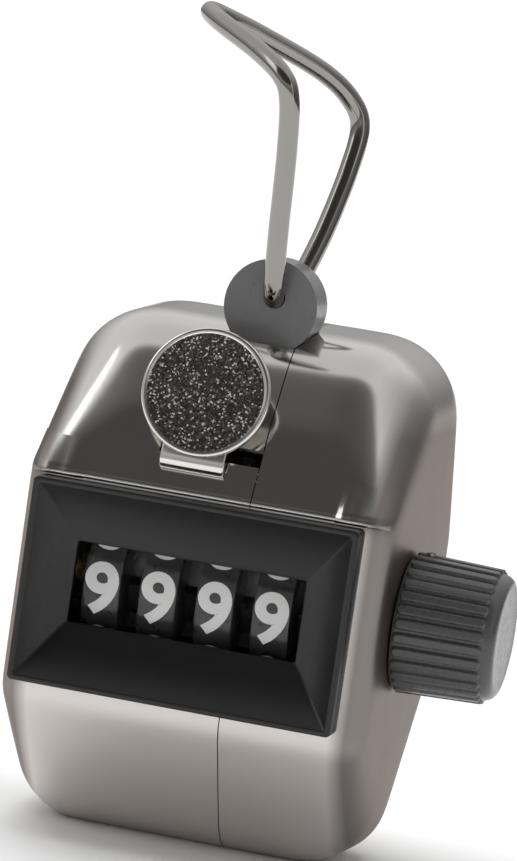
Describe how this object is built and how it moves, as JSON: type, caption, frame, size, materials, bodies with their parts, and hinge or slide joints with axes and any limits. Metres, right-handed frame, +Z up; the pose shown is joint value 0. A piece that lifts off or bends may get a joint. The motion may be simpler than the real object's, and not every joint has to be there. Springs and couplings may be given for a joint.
{
  "type": "hand tally counter",
  "caption": "Hand tally counter: polished two-shell case, black window bezel with number wheels, thumb lever, ribbed reset knob and wire finger ring.",
  "frame": {"origin": "on the flat bottom of the case, below the middle of the bezel", "axes": "+X points to the reset knob, -Y to the front with the number window, +Z up along the case's height"},
  "size_m": [0.0466, 0.0347, 0.0799],
  "materials": {
    "case_chrome": "polished nickel-chrome plate on pressed steel",
    "black_plastic": "satin moulded",
    "clear_lens": "clear acrylic",
    "plated_steel": "zinc plated",
    "screw_steel": "plated screw heads",
    "brass_bush": "turned",
    "spring_steel": "tempered, oiled",
    "knob_plastic": "glossy moulded, ribbed",
    "lever_nickel": "stippled face, bright edge",
    "boss_plastic": "semi-gloss moulded",
    "ring_nickel": "polished wire",
    "wheel_plastic": "moulded, digits printed in white"
  },
  "bodies": {
    "case": {"left_shell": "case_chrome", "right_shell": "case_chrome", "bezel": "black_plastic", "window_lens": "clear_lens", "frame_left_plate": "plated_steel", "frame_right_plate": "plated_steel", "frame_tie_rods": "plated_steel", "frame_screws": "screw_steel", "left_bush": "brass_bush", "right_bush": "brass_bush", "lever_pivot_pin": "plated_steel", "detent_bar": "plated_steel", "detent_comb": "spring_steel", "detent_screws": "screw_steel", "ring_boss": "boss_plastic", "case_screw": "screw_steel", "case_post": "brass_bush"},
    "reset_shaft": {"number_shaft": "plated_steel", "shaft_clip": "spring_steel", "reset_knob": "knob_plastic", "knob_pin": "spring_steel"},
    "wheel_thousands_body": {"wheel_thousands": "wheel_plastic", "reset_pawl_thousands": "brass_bush"},
    "wheel_hundreds_body": {"wheel_hundreds": "wheel_plastic", "reset_pawl_hundreds": "brass_bush"},
    "wheel_tens_body": {"wheel_tens": "wheel_plastic", "reset_pawl_tens": "brass_bush"},
    "wheel_units_body": {"wheel_units": "wheel_plastic", "reset_pawl_units": "brass_bush"},
    "lever": {"thumb_lever": "lever_nickel", "pawl_pin": "plated_steel", "lever_spring": "spring_steel"},
    "pawl": {"comb_pawl": "plated_steel", "pawl_spring": "spring_steel"},
    "ring": {"finger_ring": "ring_nickel"}
  },
  "joints": [
    {"name": "thumb_press", "type": "hinge", "parent": "case", "child": "lever", "pos_m": [0, -0.0032, 0.0362], "axis": [-1, 0, 0], "range_deg": [0, 18], "stiffness_Nm_per_rad": 0.08, "springref_deg": -8.59, "deforming": ["lever_spring"]},
    {"name": "pawl_swing", "type": "hinge", "parent": "lever", "child": "pawl", "pos_m": [0, 0.00985, 0.0374], "axis": [-1, 0, 0], "range_deg": [-18, 0], "deforming": ["pawl_spring"]},
    {"name": "reset_turn", "type": "hinge", "parent": "case", "child": "reset_shaft", "pos_m": [0, 0.00145, 0.0244], "axis": [1, 0, 0], "continuous": true},
    {"name": "thousands_turn", "type": "hinge", "parent": "case", "child": "wheel_thousands_body", "pos_m": [0, 0.00145, 0.0244], "axis": [1, 0, 0], "continuous": true},
    {"name": "hundreds_turn", "type": "hinge", "parent": "case", "child": "wheel_hundreds_body", "pos_m": [0, 0.00145, 0.0244], "axis": [1, 0, 0], "continuous": true},
    {"name": "tens_turn", "type": "hinge", "parent": "case", "child": "wheel_tens_body", "pos_m": [0, 0.00145, 0.0244], "axis": [1, 0, 0], "continuous": true},
    {"name": "units_turn", "type": "hinge", "parent": "case", "child": "wheel_units_body", "pos_m": [0, 0.00145, 0.0244], "axis": [1, 0, 0], "continuous": true},
    {"name": "ring_swing", "type": "hinge", "parent": "case", "child": "ring", "pos_m": [0.0019, 0.0012, 0.0531], "axis": [0, 1, 0], "range_deg": [-50, 75]}
  ],
  "couplings": [
    {"joint": "pawl_swing", "follows": "thumb_press", "ratio": -1}
  ]
}
